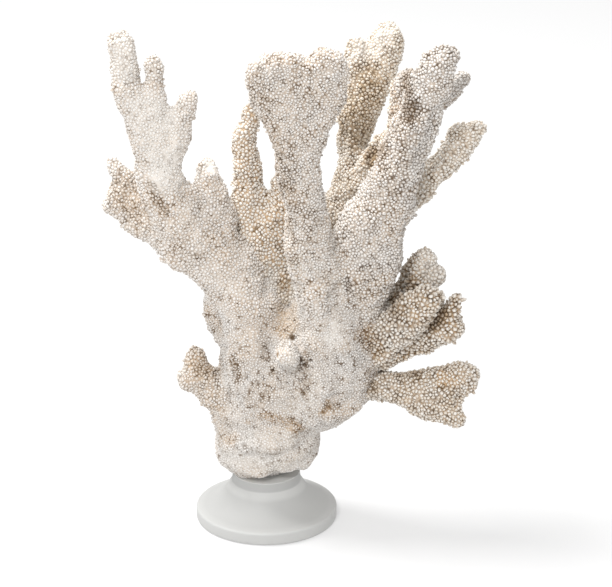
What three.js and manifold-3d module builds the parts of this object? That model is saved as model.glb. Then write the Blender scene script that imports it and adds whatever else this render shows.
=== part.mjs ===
// Branching coral on a round frosted stand.
// Millimetres, +Z up, +X to the viewer's right, +Y away from the viewer.
// The origin is the centre of the stand's flat underside.

import * as THREE from "three";
import Module from "manifold-3d";
import { LoftGeometry } from "three/addons/geometries/LoftGeometry.js";
import { mergeVertices } from "three/addons/utils/BufferGeometryUtils.js";

const wasm = await Module();
wasm.setup();

// Driving dimensions of the stand
const STAND_RADIUS = 40;
const RIM_HEIGHT = 7.5;
const RIM_ROUND = 1.5;
const COLLAR_TOP = 28.1;
const COLLAR_TOP_RADIUS = 19;
const COLLAR_FOOT = 23;
const COLLAR_FOOT_RADIUS = 19.6;
const COLLAR_ROUND = 0.5;
const SHOULDER_RADIUS = 21.4; // the flatter band around the collar's foot
const SHOULDER_HEIGHT = 20.6;
const HOLLOW_RADIUS = 27;
const HOLLOW_HEIGHT = 10;
const SWEEP_STEPS = 5;
const STAND_SIDES = 36;

// Driving dimensions of the coral
const GAP = 0.3; // between two pieces that meet at a fork, and under the foot
const VIEW_TILT = THREE.MathUtils.degToRad(20); // the flat sides of the blades face up by this much
const THIN_LIMB = 14; // limbs with a smaller half width have fewer sides
const THIN_SIDES = 8;
const THICK_SIDES = 12;
const RING_STEP = 11;
const TIP_RINGS = [0.6, 0.92]; // how far up the rounded tip each closing ring stands
const TIP_FULLNESS = 1.2; // a tip reaches this many half thicknesses past its last station
const LUMP = 0.05; // share of the radius that the surface swells and sinks
const LUMPS_AROUND = 3;
const LUMP_TWIST = 1.9;

const WELD = 1e-4; // points closer than this are one corner

// The coral's limbs. Each row is a station on the limb's line: x, y, z, half width, half thickness.
// A limb starts inside the one that it grows from and ends a rounded tip past its last station.
const COLONY = {
  trunk: {
    foot: [
      [0, 2, 26, 17, 10],
      [-1, 1.5, 31, 20.5, 13.5],
      [-1, 0, 37, 29, 21],
      [0, 0, 48, 30, 25],
      [1, 1, 62, 30, 28],
      [6, 2, 80, 34, 29],
      [9, 2, 98, 34, 27],
    ],
    left_shoulder: [
      [-2, -2, 66, 26, 24],
      [-6, -2, 90, 20, 23],
      [-7, -1, 110, 19, 20],
      [-13, 0, 126, 23, 18],
    ],
    right_bulge: [
      [16, -3, 64, 17, 20],
      [31, -6, 86, 27, 27],
      [36, -7, 110, 27, 26],
      [39, -6, 134, 23, 22],
    ],
    stub_right: [
      [30, -7, 65, 8, 12],
      [42, -8, 69, 5.5, 8],
      [48, -9, 70, 4, 7],
    ],
    knob_front: [
      [14, -18, 102, 8, 8],
      [12, -33, 111, 7, 7],
    ],
    ledge: [
      [-11, -17, 52, 5, 8],
      [1, -19, 55, 7, 9],
      [12, -16, 53, 5, 8],
    ],
  },
  left_branch: {
    arm: [
      [-6, -1, 121, 18, 17],
      [-21, -2, 150, 17, 15],
      [-38, -3, 168, 18, 13],
      [-51, -5, 189, 14, 10],
      [-57, -6, 208, 13, 8],
      [-56, -7, 223, 14, 7],
      [-61, -8, 238, 14, 6.5],
    ],
    lobe: [
      [-36, 2, 163, 17.5, 12],
      [-55, 5, 176, 15.5, 10],
      [-69, 7, 185, 16, 8],
      [-77, 8, 193, 11, 6],
    ],
    lobe_spike: [
      [-70, 8, 192, 9, 6],
      [-80, 9, 201, 5.5, 4.5],
      [-84, 10, 210, 3, 3],
    ],
    lobe_corner: [
      [-74, 7, 184, 7, 6],
      [-84, 8, 183, 4, 4.5],
      [-88, 8, 183, 2, 3],
    ],
    long_finger: [
      [-65, -8, 238, 9, 6.5],
      [-72, -8, 252, 8, 6.5],
      [-75, -7, 269, 7, 6.5],
      [-76, -6, 279, 7, 6],
    ],
    middle_finger: [
      [-59, -8, 238, 8, 6],
      [-57.5, -9, 257, 5.5, 5],
      [-58, -9, 269, 5, 4.5],
    ],
    short_finger: [
      [-49, -8, 226, 12, 6],
      [-43, -9, 241, 7, 5],
      [-39, -10, 251, 3, 4],
    ],
    side_bump: [
      [-48, -8, 226, 6, 5],
      [-42, -8, 230, 4, 4],
    ],
    stub: [
      [-27, 0, 164, 10, 10],
      [-28, 1, 181, 12, 9],
      [-30, 2, 196, 9, 8],
      [-31, 3, 207, 5, 6],
    ],
  },
  centre_fan: {
    stem: [
      [35, -12, 115, 14, 14],
      [29, -18, 144, 14, 13],
      [25, -23, 172, 13, 11],
      [21.5, -27, 196, 11, 10],
      [18.5, -30, 214, 10.5, 9],
      [19, -32, 234, 12, 8.5],
    ],
    left_half: [
      [19, -31, 228, 10, 9],
      [14, -33, 247, 14.5, 8.5],
      [8, -35, 263, 18, 8],
      [6, -36, 273, 17, 8],
    ],
    right_half: [
      [19, -31, 229, 10, 9],
      [26, -33, 249, 15, 8.5],
      [30, -35, 264, 15, 8],
      [33, -36, 275, 13, 7],
    ],
  },
  right_antler: {
    beam: [
      [41, -4, 121, 22, 20],
      [51.5, -8, 152, 21, 18],
      [59, -10, 179, 18, 16],
      [69, -12, 202, 15, 14],
      [77, -14, 225, 12, 12],
      [85, -16, 248, 11, 11],
      [89, -17, 262, 11, 10],
      [95, -18, 272.5, 9.5, 9],
    ],
    short_tine: [
      [71, -6, 208, 10, 10],
      [74, -5, 231, 7, 9],
      [75, -4, 250, 7, 8],
      [77, -6, 258, 7, 8],
    ],
    twig: [
      [82, -8, 228, 7, 9],
      [91, 4, 241, 6, 7],
      [100, 9, 248, 6, 6],
      [106, 12, 254, 5, 5],
    ],
  },
  back_blade: {
    blade: [
      [5, 8, 128, 19, 13],
      [-2, 11, 154, 21, 11],
      [-3, 13, 174, 20, 9],
    ],
    thin_finger: [
      [-8, 13, 171, 13, 9],
      [-10, 14, 194, 9, 7.5],
      [-10, 15, 213, 7, 6.5],
      [-9, 16, 229, 5, 5],
      [-8, 16, 237, 3, 4],
    ],
    hidden_finger: [
      [8, 12, 168, 13, 9],
      [12, 12, 191, 9, 8],
      [14, 12, 206, 5, 6],
    ],
  },
  back_branch: {
    stem: [
      [42, 13, 158, 16, 13],
      [43, 18, 178, 12, 12],
      [48, 27, 205, 7, 10],
      [49, 32, 222, 10, 10],
      [55, 36, 239, 13, 9.5],
      [62, 40, 254, 11, 9],
      [67.5, 43, 268, 10, 8],
    ],
    side_knob: [
      [53, 35, 236, 10, 9],
      [52, 38, 251, 9, 8],
      [50, 39, 264, 7, 7],
    ],
    saddle: [
      [50, 18, 190, 8, 10],
      [60, 14, 208, 8, 10],
      [70, 8, 222, 7, 9],
    ],
    slim_tine: [
      [70, 12, 214, 5, 8],
      [71, 15, 230, 4, 6],
      [71, 16, 245, 4, 5],
      [71, 16, 250, 3, 4],
    ],
  },
  right_finger: {
    finger: [
      [59, 2, 163, 10, 13],
      [76, 6, 187, 8, 11],
      [90.5, 10, 200, 8, 9.5],
      [104.5, 13, 214, 7, 9],
      [112, 15, 222, 7, 8],
    ],
    end_knob: [
      [108, 14, 217, 6, 7],
      [117, 16, 226, 4, 6],
    ],
    upper_knob: [
      [99, 12, 212, 5, 6.5],
      [105, 13, 225, 4, 5],
    ],
  },
  right_cluster: {
    root: [
      [39, -6, 107, 19, 18],
      [57, -6, 113, 14, 16],
      [69, -6, 118, 13, 14],
    ],
    high_lobe: [
      [63, 2, 114, 9, 11],
      [76, 5, 131, 7, 9],
      [85, 7, 146, 8, 8],
      [89, 8, 153, 6, 7],
    ],
    side_knob: [
      [86, 4, 138, 8, 7],
      [95, 5, 145, 5.5, 5],
    ],
    low_knob: [
      [84, 0, 124, 9, 8],
      [95, 1, 131, 5, 6],
    ],
    front_lobe: [
      [68, -14, 116, 11, 11],
      [80, -18, 129, 11, 9],
      [88, -21, 140, 8, 7],
    ],
    low_lobe: [
      [55, -6, 104, 13, 14],
      [73, -7, 111, 12, 11],
      [91, -8, 116, 11, 9],
      [101, -9, 119, 8, 8],
    ],
    tip: [
      [95, -9, 119, 8, 7],
      [103, -10, 130, 5, 5.5],
      [105, -10, 137, 3, 4.5],
    ],
  },
  lower_branch: {
    stem: [
      [39, -6, 83, 15, 16],
      [57, -6, 83, 7.5, 12],
      [72, -7, 82, 8, 11],
      [87, -9, 80, 13, 10],
      [100, -10, 80, 17, 9],
    ],
    upper_end: [
      [94, -9, 84, 11, 9],
      [107, -11, 90, 10, 8],
      [110, -11, 89, 10, 8],
    ],
    lower_end: [
      [92, -9, 74, 10, 9],
      [102, -11, 67, 7, 8],
      [107, -12, 66, 5, 7],
    ],
  },
  left_knob: {
    stem: [
      [-17, -4, 70, 12, 14],
      [-30, -3, 80, 10, 12],
      [-36, -2, 88, 8, 10],
      [-40, -2, 94, 6, 9],
    ],
    upper_end: [
      [-37, -2, 88, 7, 9],
      [-39, -1, 99, 6, 8],
    ],
    broken_end: [
      [-32, -3, 79, 8, 9],
      [-45, -4, 86, 6, 9],
    ],
  },
};

// The coral is cream, with some pieces more tan than the rest.
const CREAM = 0xe6dfd3;
const TONES = {
  back_blade: 0xdcccae,
  back_branch: 0xcdb99b,
  right_finger: 0xe0d3be,
  right_cluster: 0xe2d6c2,
  lower_branch: 0xe4d9c6,
};

function coralFinish(name) {
  return new THREE.MeshStandardMaterial({ color: TONES[name] ?? CREAM, roughness: 0.9, metalness: 0 });
}

function frostedFinish() {
  return new THREE.MeshStandardMaterial({ color: 0xd6d7d3, roughness: 0.45, metalness: 0 });
}

// A closed geometry as a solid that can be joined and cut.
function solid(geometry) {
  const bare = new THREE.BufferGeometry().copy(geometry);
  bare.deleteAttribute("normal");
  bare.deleteAttribute("uv");
  const merged = mergeVertices(bare, WELD);
  const mesh = new wasm.Mesh({
    numProp: 3,
    vertProperties: new Float32Array(merged.attributes.position.array),
    triVerts: new Uint32Array(merged.index.array),
  });
  return new wasm.Manifold(mesh);
}

// A solid as a named mesh of the scene.
function meshOf(name, body, material) {
  const { vertProperties, triVerts } = body.getMesh();
  const geometry = new THREE.BufferGeometry();
  geometry.setAttribute("position", new THREE.BufferAttribute(vertProperties, 3));
  geometry.setIndex(new THREE.BufferAttribute(triVerts, 1));
  geometry.computeVertexNormals();
  const mesh = new THREE.Mesh(geometry, material);
  mesh.name = name;
  return mesh;
}

// One limb: elliptical sections carried along a smooth line, with a rounded tip.
// grow fattens it all round.
function limb(stations, grow = 0) {
  const centres = stations.map(([x, y, z]) => new THREE.Vector3(x, y, z));
  const girths = stations.map(([, , , width, thickness]) => new THREE.Vector3(width, thickness, 0));
  const line = new THREE.CatmullRomCurve3(centres);
  const girth = new THREE.CatmullRomCurve3(girths);
  const facing = new THREE.Vector3(0, Math.cos(VIEW_TILT), -Math.sin(VIEW_TILT));
  const spans = stations.length - 1;
  const rings = spans * Math.max(1, Math.round(line.getLength() / (spans * RING_STEP)));
  const widest = Math.max(...girths.map((size) => size.x));
  const sides = widest < THIN_LIMB ? THIN_SIDES : THICK_SIDES;

  const section = (t, ring, advance, scale) => {
    const along = line.getTangent(t);
    const centre = line.getPoint(t).addScaledVector(along, advance);
    const across = new THREE.Vector3().crossVectors(along, facing).normalize();
    const outward = new THREE.Vector3().crossVectors(along, across);
    const { x: halfWidth, y: halfThickness } = girth.getPoint(t);
    return Array.from({ length: sides }, (_, i) => {
      const angle = (2 * Math.PI * i) / sides;
      const lump = 1 + LUMP * Math.sin(LUMPS_AROUND * angle + LUMP_TWIST * ring);
      return centre
        .clone()
        .addScaledVector(across, (halfWidth * lump + grow) * scale * Math.cos(angle))
        .addScaledVector(outward, (halfThickness * lump + grow) * scale * Math.sin(angle));
    });
  };

  const sections = Array.from({ length: rings + 1 }, (_, ring) => section(ring / rings, ring, 0, 1));
  const [, , , tipWidth, tipThickness] = stations.at(-1);
  const reach = Math.min(tipWidth, TIP_FULLNESS * tipThickness) + grow;
  for (const rise of TIP_RINGS) {
    sections.push(section(1, rings, reach * rise, Math.sqrt(1 - rise * rise)));
  }
  return solid(new LoftGeometry(sections, { capStart: true, capEnd: true }));
}

// All the limbs of one piece, joined.
function joined(limbs, grow = 0) {
  return Object.values(limbs)
    .map((stations) => limb(stations, grow))
    .reduce((whole, next) => whole.add(next));
}

// The largest of the bodies that a cut leaves.
function largest(body) {
  return body.decompose().reduce((best, next) => (next.volume() > best.volume() ? next : best));
}

// The stand: a flat disc that sweeps up in a hollow curve to a tapered collar with a flat top.
function stand() {
  const rim = new THREE.Vector2(STAND_RADIUS - RIM_ROUND, RIM_HEIGHT);
  const hollow = new THREE.Vector2(HOLLOW_RADIUS, HOLLOW_HEIGHT);
  const shoulder = new THREE.Vector2(SHOULDER_RADIUS, SHOULDER_HEIGHT);
  const sweep = new THREE.QuadraticBezierCurve(rim, hollow, shoulder).getPoints(SWEEP_STEPS);
  const profile = [
    new THREE.Vector2(0, 0),
    new THREE.Vector2(STAND_RADIUS - RIM_ROUND, 0),
    new THREE.Vector2(STAND_RADIUS, RIM_ROUND),
    new THREE.Vector2(STAND_RADIUS, RIM_HEIGHT - RIM_ROUND),
    ...sweep,
    new THREE.Vector2(COLLAR_FOOT_RADIUS, COLLAR_FOOT),
    new THREE.Vector2(COLLAR_TOP_RADIUS, COLLAR_TOP - COLLAR_ROUND),
    new THREE.Vector2(COLLAR_TOP_RADIUS - COLLAR_ROUND, COLLAR_TOP),
    new THREE.Vector2(0, COLLAR_TOP),
  ];
  const lathe = new THREE.LatheGeometry(profile, STAND_SIDES);
  return solid(lathe.rotateX(Math.PI / 2));
}

// Everything below the collar's top, where the coral is cut off flat.
function belowSeat() {
  const size = 4 * STAND_RADIUS;
  const block = new THREE.BoxGeometry(size, size, size);
  return solid(block.translate(0, 0, COLLAR_TOP + GAP - size / 2));
}

const part = new THREE.Group();
part.add(meshOf("stand", stand(), frostedFinish()));

// Each piece is cut back from those before it in the list, so that it starts at their surface.
const coral = new THREE.Group();
part.add(coral);
let taken = belowSeat();
for (const [name, limbs] of Object.entries(COLONY)) {
  const body = largest(joined(limbs).subtract(taken));
  coral.add(meshOf(name, body, coralFinish(name)));
  taken = taken.add(joined(limbs, GAP));
}

export default part;
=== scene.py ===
"""Look of a branching coral on a round frosted stand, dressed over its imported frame.

Shapes are worked out in millimetres as whole arrays, and go into the meshes in metres.
"""

import itertools
import logging
import math
from collections.abc import Callable, Iterator
from dataclasses import dataclass, field
from enum import Enum
from typing import Any, ClassVar

import bpy
import numpy as np
import openvdb
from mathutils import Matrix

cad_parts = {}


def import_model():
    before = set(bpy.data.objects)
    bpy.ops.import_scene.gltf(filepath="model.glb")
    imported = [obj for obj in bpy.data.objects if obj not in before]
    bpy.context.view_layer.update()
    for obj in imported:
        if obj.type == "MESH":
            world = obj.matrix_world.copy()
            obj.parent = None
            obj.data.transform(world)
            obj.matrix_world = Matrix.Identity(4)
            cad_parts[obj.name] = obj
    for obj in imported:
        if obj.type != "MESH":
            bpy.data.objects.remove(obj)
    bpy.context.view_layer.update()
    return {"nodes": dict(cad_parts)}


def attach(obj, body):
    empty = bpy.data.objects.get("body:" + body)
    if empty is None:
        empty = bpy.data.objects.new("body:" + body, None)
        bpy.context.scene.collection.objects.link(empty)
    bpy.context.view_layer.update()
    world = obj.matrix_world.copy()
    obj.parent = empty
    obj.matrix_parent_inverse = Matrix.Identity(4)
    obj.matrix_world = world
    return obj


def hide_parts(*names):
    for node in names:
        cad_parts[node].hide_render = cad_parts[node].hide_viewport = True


LOG = logging.getLogger("coral")
BODY = "root"
MILLIMETRE = 0.001
TINY = 1e-9
WHITE = (1.0, 1.0, 1.0, 1.0)
DOWN = (0.0, 0.0, -1.0)

Array = np.ndarray
Colour = tuple[float, float, float]
Point = tuple[float, float, float]

# Layers of noise: pairs of a wavelength in millimetres and a strength.
Waves = tuple[tuple[float, float], ...]


# Finishes


class Slot(Enum):
    """The material slots, each by its material's name."""

    CREAM = "coral_cream"
    WARM = "coral_warm"
    TAN = "coral_tan"
    FROSTED = "frosted_stand"


class Tone(Enum):
    """The numbers that a mesh holds at each of its points for the finish to follow."""

    RISE = "rise"
    WARM = "warm"
    # Dark holds dirt and painted shadow.
    DARK = "dark"
    WORN = "worn"
    TINT = "tint"
    # Grime holds dirt, and painted shade from creases and dark marks.
    GRIME = "grime"
    # Painted light and shade on the stand.
    PAINTED_LIGHT = "pale"


Tones = dict[Tone, Array]


class Socket:
    """A node's output, with arithmetic that adds Math nodes."""

    def __init__(self, shader: "Shader", output: bpy.types.NodeSocket) -> None:
        """Wraps one output of a node of the shader."""
        self.shader = shader
        self.output = output

    def maths(self, operation: str, first: Any, second: Any) -> "Socket":
        """A Math node on two values."""
        return self.shader.add("ShaderNodeMath", {"operation": operation}, {0: first, 1: second})

    def __add__(self, other: Any) -> "Socket":
        """Sum of two values."""
        return self.maths("ADD", self, other)

    def __radd__(self, other: Any) -> "Socket":
        """Sum of two values."""
        return self.maths("ADD", other, self)

    def __sub__(self, other: Any) -> "Socket":
        """Difference of two values."""
        return self.maths("SUBTRACT", self, other)

    def __rsub__(self, other: Any) -> "Socket":
        """Difference of two values."""
        return self.maths("SUBTRACT", other, self)

    def __mul__(self, other: Any) -> "Socket":
        """Product of two values."""
        return self.maths("MULTIPLY", self, other)

    def __rmul__(self, other: Any) -> "Socket":
        """Product of two values."""
        return self.maths("MULTIPLY", other, self)

    def clamped(self) -> "Socket":
        """The value held between 0 and 1."""
        return self.shader.add("ShaderNodeClamp", {}, {"Value": self})


@dataclass(frozen=True)
class Grain:
    """A noise pattern, with its swells in each metre and the number of its finer layers."""

    scale: float
    detail: float


class Shader:
    """The node tree of one material.

    A Mix node has sockets of the same name for each type of data, so those for colours are
    named here by their places.
    """

    MIX_SHARE: ClassVar[int] = 0
    MIX_FIRST: ClassVar[int] = 6
    MIX_SECOND: ClassVar[int] = 7
    MIX_RESULT: ClassVar[int] = 2

    def __init__(self, name: str) -> None:
        """Starts an empty node tree in a new material.

        Args:
            name: The material's name.
        """
        self.material = bpy.data.materials.new(name)
        self.material.use_nodes = True
        self.tree = self.material.node_tree
        self.tree.nodes.clear()

    def add(
        self,
        kind: str,
        settings: dict[str, Any],
        inputs: dict[str | int, Any],
        output: str | int = 0,
    ) -> Socket:
        """Adds a node.

        Args:
            kind: The node's type.
            settings: The node's own properties, set before its sockets.
            inputs: A value or a Socket for each input that is set.
            output: The output that is wanted.

        Returns:
            The wanted output.
        """
        node = self.tree.nodes.new(kind)
        for key, value in settings.items():
            setattr(node, key, value)
        for key, value in inputs.items():
            if isinstance(value, Socket):
                self.tree.links.new(value.output, node.inputs[key])
            else:
                node.inputs[key].default_value = value
        return Socket(self, node.outputs[output])

    def attribute(self, tone: Tone) -> Socket:
        """A number that the mesh holds at each of its points."""
        return self.add("ShaderNodeAttribute", {"attribute_name": tone.value}, {}, "Fac")

    def place(self) -> Socket:
        """Object coordinates, in metres."""
        return self.add("ShaderNodeTexCoord", {}, {}, "Object")

    def noise(self, grain: Grain) -> Socket:
        """Noise from 0 to 1."""
        inputs = {"Vector": self.place(), "Scale": grain.scale, "Detail": grain.detail}
        return self.add("ShaderNodeTexNoise", {}, inputs, "Fac")

    def swing(self, grain: Grain) -> Socket:
        """Noise from -1/2 to 1/2."""
        return self.noise(grain) - 0.5

    def mix(self, share: Socket, first: Socket | Colour, second: Socket | Colour) -> Socket:
        """A blend of two colours.

        Args:
            share: Goes from 0 for the first to 1 for the second.
            first: One colour.
            second: The other colour.

        Returns:
            The blended colour.
        """
        ends = [end if isinstance(end, Socket) else (*end, 1.0) for end in (first, second)]
        settings = {"data_type": "RGBA", "clamp_factor": True}
        inputs = {self.MIX_SHARE: share, self.MIX_FIRST: ends[0], self.MIX_SECOND: ends[1]}
        return self.add("ShaderNodeMix", settings, inputs, self.MIX_RESULT)

    def bump(self, height: Socket, strength: float, distance: float) -> Socket:
        """A normal that is tilted by the slope of a height."""
        inputs = {"Height": height, "Strength": strength, "Distance": distance}
        return self.add("ShaderNodeBump", {}, inputs)

    def surface(self, inputs: dict[str | int, Any]) -> bpy.types.Material:
        """Ends the tree with a Principled shader.

        Args:
            inputs: A value or a Socket for each of its inputs that is set.

        Returns:
            The finished material.
        """
        shade = self.add("ShaderNodeBsdfPrincipled", {}, inputs)
        end = self.tree.nodes.new("ShaderNodeOutputMaterial")
        self.tree.links.new(shade.output, end.inputs["Surface"])
        return self.material


@dataclass(frozen=True)
class CoralFinish:
    """Dry, matt skeleton: pale beads, with dirt and painted shade in the gaps between them.

    The bump's height is in metres. The other numbers are shares and strengths.
    """

    slot: Slot
    bead: Colour
    tinted_bead: Colour
    # The gaps' colours stand for dirt and for painted shade between the beads.
    grey_gap: Colour = (0.28, 0.235, 0.195)
    warm_gap: Colour = (0.46, 0.265, 0.09)
    soot_and_shadow: Colour = (0.11, 0.065, 0.031)
    worn: Colour = (0.765, 0.74, 0.70)
    mottle: Grain = Grain(55.0, 3.0)
    mottle_warm: float = 0.7
    mottle_tint: float = 0.5
    speck: Grain = Grain(1000.0, 3.0)
    speck_depth: float = 0.8
    pit: Grain = Grain(800.0, 1.0)
    pit_grime: float = 0.12
    pit_level: float = 0.65
    pit_edge: float = 8.0
    pit_depth: float = 0.6
    grain: Grain = Grain(1500.0, 2.0)
    chip: Grain = Grain(600.0, 2.0)
    chip_height: float = 2.5
    bump_strength: float = 0.4
    bump_height: float = 0.00025
    roughness: float = 0.86
    roughness_spread: float = 0.16
    gloss: float = 0.25

    def material(self) -> bpy.types.Material:
        """Colours follow the mesh's own tones.

        The gap's colour, dirt and painted shade, goes from grey to tan with warm and to near
        black with dark, which is dirt in some places and painted shadow in others. The bead's
        colour goes from pale to its tint. Rise, broken up by noise, goes from gap to bead, and
        worn goes from there to one pale colour. Over all this lie small dark pits, where fine
        noise with part of the grime added to it passes a level.

        Returns:
            The material.
        """
        shader = Shader(self.slot.value)
        mottle = shader.swing(self.mottle)
        warm = shader.attribute(Tone.WARM) + mottle * self.mottle_warm
        tint = shader.attribute(Tone.TINT) + mottle * self.mottle_tint
        rise = shader.attribute(Tone.RISE) + shader.swing(self.speck) * self.speck_depth
        pits = shader.noise(self.pit) + shader.attribute(Tone.GRIME) * self.pit_grime
        pit = ((pits - self.pit_level) * self.pit_edge).clamped() * self.pit_depth
        grain = shader.noise(self.grain)
        relief = grain + shader.noise(self.chip) * self.chip_height

        gap = shader.mix(warm.clamped(), self.grey_gap, self.warm_gap)
        # Dark takes the gap to near black, as dirt in some places and as painted shadow in
        # others.
        gap = shader.mix(shader.attribute(Tone.DARK), gap, self.soot_and_shadow)
        bead = shader.mix(tint.clamped(), self.bead, self.tinted_bead)
        skin = shader.mix(rise.clamped(), gap, bead)
        skin = shader.mix(shader.attribute(Tone.WORN), skin, self.worn)
        skin = shader.mix(pit, skin, self.soot_and_shadow)
        return shader.surface(
            {
                "Base Color": skin,
                "Roughness": grain * self.roughness_spread + self.roughness,
                "Specular IOR Level": self.gloss,
                "Normal": shader.bump(relief, self.bump_strength, self.bump_height),
            }
        )


@dataclass(frozen=True)
class FrostedFinish:
    """Satin frosted, see-through only as a glow. The bump's height is in metres."""

    slot: Slot = Slot.FROSTED
    # The colours of the painted light and of the painted shade.
    pale: Colour = (0.62, 0.62, 0.605)
    painted_shade_colour: Colour = (0.42, 0.42, 0.41)
    transmission: float = 0.25
    ior: float = 1.49
    grain: Grain = Grain(2600.0, 1.0)
    roughness: float = 0.55
    roughness_spread: float = 0.1
    bump_strength: float = 0.08
    bump_height: float = 0.0001

    def material(self) -> bpy.types.Material:
        """Paler as painted light and shade where the mesh says so, with a fine blasted grain in
        its gloss.

        Returns:
            The material.
        """
        shader = Shader(self.slot.value)
        grain = shader.noise(self.grain)
        return shader.surface(
            {
                "Base Color": shader.mix(shader.attribute(Tone.PAINTED_LIGHT), self.painted_shade_colour, self.pale),
                "Roughness": grain * self.roughness_spread + self.roughness,
                "Transmission Weight": self.transmission,
                "IOR": self.ior,
                "Normal": shader.bump(grain, self.bump_strength, self.bump_height),
            }
        )


@dataclass(frozen=True)
class FloorFinish:
    """Smooth white paper."""

    white: float = 0.45
    glow: float = 0.4
    roughness: float = 0.9
    gloss: float = 0.1

    def material(self) -> bpy.types.Material:
        """A white that is the same all over, with a glow of its own and hardly any gloss.

        Returns:
            The material.
        """
        inputs = {
            "Base Color": (self.white, self.white, self.white, 1.0),
            "Roughness": self.roughness,
            "Specular IOR Level": self.gloss,
            "Emission Color": WHITE,
            "Emission Strength": self.glow,
        }
        return Shader("floor_paper").surface(inputs)


FINISHES: list[CoralFinish | FrostedFinish] = [
    CoralFinish(Slot.CREAM, (0.76, 0.735, 0.705), (0.67, 0.605, 0.53)),
    CoralFinish(Slot.WARM, (0.815, 0.785, 0.735), (0.64, 0.55, 0.435)),
    CoralFinish(Slot.TAN, (0.84, 0.80, 0.735), (0.60, 0.51, 0.385)),
    FrostedFinish(),
]


# Meshes


@dataclass
class Shell:
    """Triangles in millimetres, with tones and perhaps normals held at each point."""

    points: Array
    triangles: Array
    tones: Tones = field(default_factory=dict)
    normals: Array | None = None

    @staticmethod
    def joined(shells: list["Shell"]) -> "Shell":
        """Puts several shells into one.

        Args:
            shells: Shells that all have normals and the same tones.

        Returns:
            One shell, in which each keeps its own points.
        """
        starts = np.cumsum([0] + [len(s.points) for s in shells[:-1]])
        return Shell(
            np.concatenate([s.points for s in shells]),
            np.concatenate([s.triangles + n for s, n in zip(shells, starts)]),
            {tone: np.concatenate([s.tones[tone] for s in shells]) for tone in shells[0].tones},
            np.concatenate([s.normals for s in shells]),
        )

    def piece(self, name: str, material: bpy.types.Material) -> bpy.types.Object:
        """Puts the shell into the scene.

        Args:
            name: The piece's name.
            material: Its finish.

        Returns:
            The new object, at the origin.
        """
        mesh = bpy.data.meshes.new(name)
        mesh.vertices.add(len(self.points))
        places = (self.points * MILLIMETRE).astype(np.float32)
        mesh.vertices.foreach_set("co", places.ravel())
        mesh.loops.add(self.triangles.size)
        mesh.loops.foreach_set("vertex_index", self.triangles.astype(np.int32).ravel())
        mesh.polygons.add(len(self.triangles))
        starts = np.arange(0, self.triangles.size, 3, dtype=np.int32)
        mesh.polygons.foreach_set("loop_start", starts)
        mesh.update(calc_edges=True)
        mesh.polygons.foreach_set("use_smooth", np.ones(len(self.triangles), bool))
        for tone, values in self.tones.items():
            layer = mesh.attributes.new(tone.value, "FLOAT", "POINT")
            layer.data.foreach_set("value", values.astype(np.float32))
        if self.normals is not None:
            mesh.normals_split_custom_set_from_vertices(self.normals)
        mesh.materials.append(material)
        piece = bpy.data.objects.new(name, mesh)
        bpy.context.scene.collection.objects.link(piece)
        return piece


def length_of(vectors: Array) -> Array:
    """Length of each row."""
    return np.sqrt((vectors * vectors).sum(-1))


def unit(vectors: Array) -> Array:
    """Each row at length 1."""
    return vectors / np.maximum(length_of(vectors), TINY)[..., None]


def smoothstep(low: float, high: float, values: Array) -> Array:
    """0 below low, 1 above high, and the cubic 3 t^2 - 2 t^3 between."""
    share = np.clip((values - low) / (high - low), 0.0, 1.0)
    return share * share * (3.0 - 2.0 * share)


# The limbs and their marks


class Limb(Enum):
    """The nodes that the coral is split into at its main forks."""

    TRUNK = "trunk"
    LEFT_BRANCH = "left_branch"
    CENTRE_FAN = "centre_fan"
    RIGHT_ANTLER = "right_antler"
    BACK_BLADE = "back_blade"
    BACK_BRANCH = "back_branch"
    RIGHT_FINGER = "right_finger"
    RIGHT_CLUSTER = "right_cluster"
    LOWER_BRANCH = "lower_branch"
    LEFT_KNOB = "left_knob"


@dataclass(frozen=True)
class Beads:
    """The beads of one limb.

    Spacing and height are in millimetres, and lean is in bead radii. Point goes from 0 for a
    round bead to 1 for a pointed one, and loose says how unevenly a bead fills its ground.
    """

    spacing: float
    height: float
    lean: float = 0.2
    point: float = 0.0
    sides: int = 6
    loose: float = 0.06


@dataclass(frozen=True)
class LimbLook:
    """What one limb looks like.

    Beads lean away from root. Contrast is how far the gaps, with their dirt and painted shade,
    fall short of the beads' colour.
    """

    slot: Slot
    root: Point
    beads: Beads
    warm: float
    contrast: float
    grime: float
    tint: float


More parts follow.
